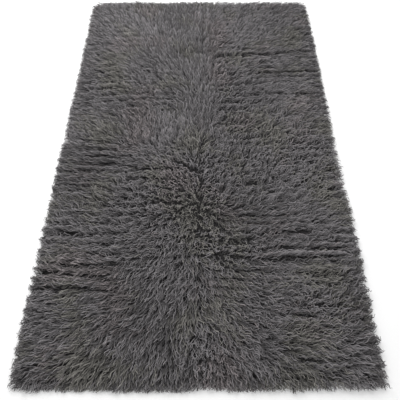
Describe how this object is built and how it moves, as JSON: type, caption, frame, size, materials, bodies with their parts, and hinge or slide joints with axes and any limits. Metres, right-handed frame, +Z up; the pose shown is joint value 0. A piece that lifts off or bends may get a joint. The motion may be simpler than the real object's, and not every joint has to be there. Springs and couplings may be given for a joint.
{
  "type": "flokati rug",
  "caption": "Flat hand-woven flokati rug with a long, shaggy pile of dark grey wool that parts along its middle and hangs over its rim in locks.",
  "frame": {"origin": "on the floor under the rug's middle", "axes": "+Y along the rug's length, away from the end that is nearer in the picture, +X across it to the right as seen from that end, +Z up"},
  "size_m": [1.5, 2.5, 0.0461],
  "materials": {
    "wool_pile": "long felted wool locks, dark grey, matte"
  },
  "bodies": {
    "root": {"rug": "wool_pile"}
  },
  "joints": []
}
